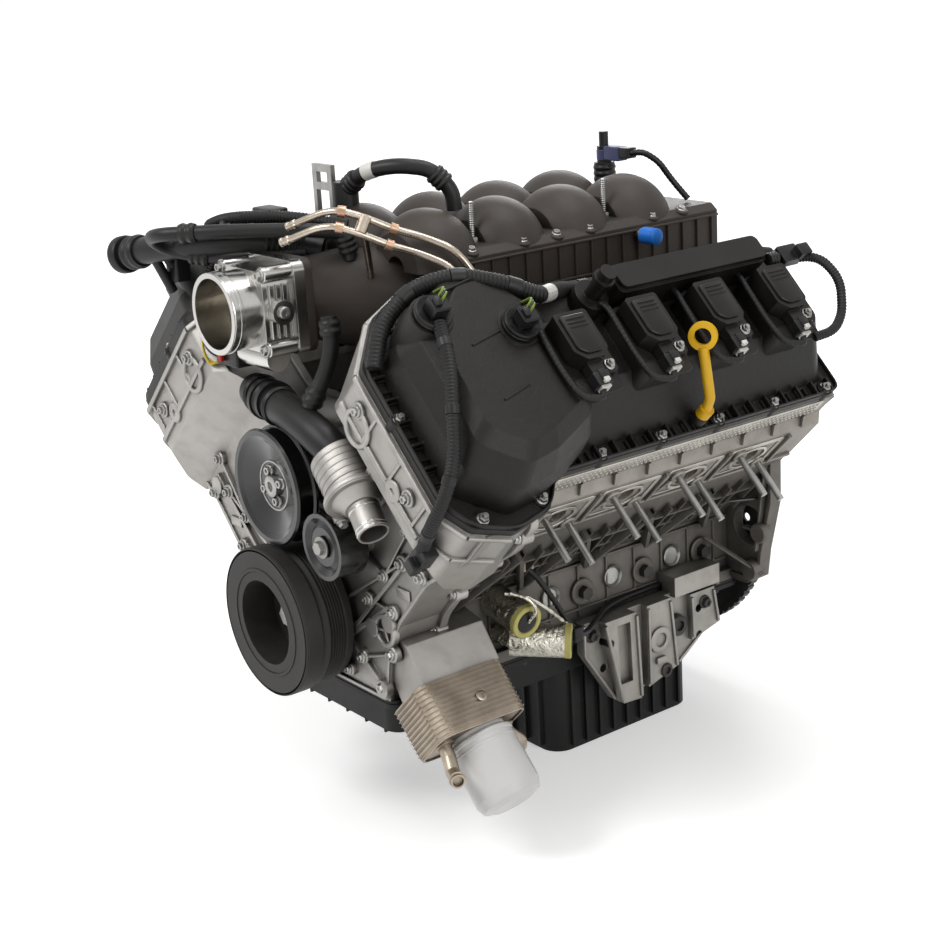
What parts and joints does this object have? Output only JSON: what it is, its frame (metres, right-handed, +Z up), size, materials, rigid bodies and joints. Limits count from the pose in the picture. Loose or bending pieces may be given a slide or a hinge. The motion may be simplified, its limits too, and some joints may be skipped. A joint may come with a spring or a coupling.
{
  "type": "v8 engine",
  "caption": "Ninety degree V engine with four overhead camshafts, moulded intake manifold, throttle body, front damper, oil cooler and spin-on filter.",
  "frame": {"origin": "on the crank axis, in the bell housing face at the rear of the block", "axes": "+Y to the rear along the crank, +X to the left bank, +Z up"},
  "size_m": [0.726, 0.6666, 0.7464],
  "materials": {
    "cast_aluminium": "sand-cast, matt",
    "machined_aluminium": "machined",
    "steel": "ground and plain steel",
    "iron": "as cast",
    "piston_aluminium": "turned",
    "damper_iron": "dark coating, matt",
    "rubber": "moulded",
    "black_steel": "gloss black paint",
    "black_plastic": "moulded, fine grain",
    "pump_steel": "plain",
    "manifold_plastic": "moulded, fine grain",
    "throttle_brass": "turned",
    "fuel_steel": "bright drawn",
    "bracket_steel": "zinc coated",
    "cooler_aluminium": "brazed",
    "filter_white": "gloss white paint",
    "foil": "crinkled foil",
    "yellow_plastic": "moulded"
  },
  "bodies": {
    "engine": {"cylinder_block": "cast_aluminium", "left_cylinder_head": "cast_aluminium", "right_cylinder_head": "cast_aluminium", "timing_cover": "cast_aluminium", "water_pump": "cast_aluminium", "thermostat_housing": "cast_aluminium", "mount_brackets": "cast_aluminium", "filter_adapter": "cast_aluminium", "throttle_body": "machined_aluminium", "main_cap_bolts": "steel", "connecting_rods": "steel", "timing_chains": "steel", "valves": "steel", "valve_springs": "steel", "cam_followers": "steel", "exhaust_studs": "steel", "head_gaskets": "steel", "spark_plugs": "steel", "main_bearing_caps": "iron", "coolant_elbow": "rubber", "vent_hoses": "rubber", "left_cam_cover": "black_plastic", "right_cam_cover": "black_plastic", "ignition_coils": "black_plastic", "oil_separator": "black_plastic", "chain_guides": "black_plastic", "engine_sensors": "black_plastic", "wiring_harness": "black_plastic", "oil_pan": "black_plastic", "oil_pump": "pump_steel", "intake_manifold": "manifold_plastic", "fuel_rails": "fuel_steel", "fuel_tubes": "fuel_steel", "lifting_bracket": "bracket_steel", "oil_cooler": "cooler_aluminium", "oil_filter": "filter_white", "sensor_sleeves": "foil"},
    "crank": {"crankshaft": "steel", "damper_hub": "damper_iron", "damper_rubber": "rubber", "damper_ring": "damper_iron", "damper_bolt": "steel", "flexplate": "steel"},
    "left_intake_cam": {"left_intake_camshaft": "steel"},
    "left_exhaust_cam": {"left_exhaust_camshaft": "steel"},
    "right_intake_cam": {"right_intake_camshaft": "steel"},
    "right_exhaust_cam": {"right_exhaust_camshaft": "steel"},
    "piston_1_body": {"piston_1": "piston_aluminium"},
    "piston_2_body": {"piston_2": "piston_aluminium"},
    "piston_3_body": {"piston_3": "piston_aluminium"},
    "piston_4_body": {"piston_4": "piston_aluminium"},
    "piston_5_body": {"piston_5": "piston_aluminium"},
    "piston_6_body": {"piston_6": "piston_aluminium"},
    "piston_7_body": {"piston_7": "piston_aluminium"},
    "piston_8_body": {"piston_8": "piston_aluminium"},
    "pump_pulley": {"water_pump_pulley": "black_steel"},
    "idler": {"idler_pulley": "black_plastic"},
    "throttle_butterfly": {"throttle_plate": "throttle_brass"},
    "dipstick_body": {"dipstick": "yellow_plastic"},
    "filler_cap": {"oil_filler_cap": "black_plastic"}
  },
  "joints": [
    {"name": "crank_turn", "type": "hinge", "parent": "engine", "child": "crank", "pos_m": [0, 0, 0], "axis": [0, 1, 0], "continuous": true, "deforming": ["connecting_rods", "timing_chains", "valves", "valve_springs", "cam_followers"]},
    {"name": "left_intake_cam_turn", "type": "hinge", "parent": "engine", "child": "left_intake_cam", "pos_m": [0.19445, 0, 0.25668], "axis": [0, 1, 0], "continuous": true},
    {"name": "left_exhaust_cam_turn", "type": "hinge", "parent": "engine", "child": "left_exhaust_cam", "pos_m": [0.25668, 0, 0.19445], "axis": [0, 1, 0], "continuous": true},
    {"name": "right_intake_cam_turn", "type": "hinge", "parent": "engine", "child": "right_intake_cam", "pos_m": [-0.19445, 0, 0.25668], "axis": [0, 1, 0], "continuous": true},
    {"name": "right_exhaust_cam_turn", "type": "hinge", "parent": "engine", "child": "right_exhaust_cam", "pos_m": [-0.25668, 0, 0.19445], "axis": [0, 1, 0], "continuous": true},
    {"name": "piston_1_stroke", "type": "slide", "parent": "engine", "child": "piston_1_body", "axis": [-0.7071, 0, 0.7071], "range_m": [-0.03905, 0.05366]},
    {"name": "piston_2_stroke", "type": "slide", "parent": "engine", "child": "piston_2_body", "axis": [-0.7071, 0, 0.7071], "range_m": [0, 0.0927]},
    {"name": "piston_3_stroke", "type": "slide", "parent": "engine", "child": "piston_3_body", "axis": [-0.7071, 0, 0.7071], "range_m": [-0.0927, 0]},
    {"name": "piston_4_stroke", "type": "slide", "parent": "engine", "child": "piston_4_body", "axis": [-0.7071, 0, 0.7071], "range_m": [-0.03905, 0.05366]},
    {"name": "piston_5_stroke", "type": "slide", "parent": "engine", "child": "piston_5_body", "axis": [0.7071, 0, 0.7071], "range_m": [-0.0927, 0]},
    {"name": "piston_6_stroke", "type": "slide", "parent": "engine", "child": "piston_6_body", "axis": [0.7071, 0, 0.7071], "range_m": [-0.03905, 0.05366]},
    {"name": "piston_7_stroke", "type": "slide", "parent": "engine", "child": "piston_7_body", "axis": [0.7071, 0, 0.7071], "range_m": [-0.03905, 0.05366]},
    {"name": "piston_8_stroke", "type": "slide", "parent": "engine", "child": "piston_8_body", "axis": [0.7071, 0, 0.7071], "range_m": [0, 0.0927]},
    {"name": "pump_pulley_turn", "type": "hinge", "parent": "engine", "child": "pump_pulley", "pos_m": [0, -0.6, 0.158], "axis": [0, 1, 0], "continuous": true},
    {"name": "idler_turn", "type": "hinge", "parent": "engine", "child": "idler", "pos_m": [0.104, -0.59, 0.112], "axis": [0, 1, 0], "continuous": true},
    {"name": "throttle_turn", "type": "hinge", "parent": "engine", "child": "throttle_butterfly", "pos_m": [-0.05, -0.574, 0.353], "axis": [1, 0, 0], "range_deg": [0, 84], "stiffness_Nm_per_rad": 0.05},
    {"name": "dipstick_pull", "type": "slide", "parent": "engine", "child": "dipstick_body", "axis": [0.7071, 0, 0.7071], "range_m": [0, 0.25]},
    {"name": "filler_cap_turn", "type": "hinge", "parent": "engine", "child": "filler_cap", "pos_m": [-0.29698, -0.52, 0.32527], "axis": [-0.7071, 0, 0.7071], "range_deg": [0, 90]}
  ],
  "couplings": [
    {"joint": "left_intake_cam_turn", "follows": "crank_turn", "ratio": 0.5},
    {"joint": "left_exhaust_cam_turn", "follows": "crank_turn", "ratio": 0.5},
    {"joint": "right_intake_cam_turn", "follows": "crank_turn", "ratio": 0.5},
    {"joint": "right_exhaust_cam_turn", "follows": "crank_turn", "ratio": 0.5}
  ]
}
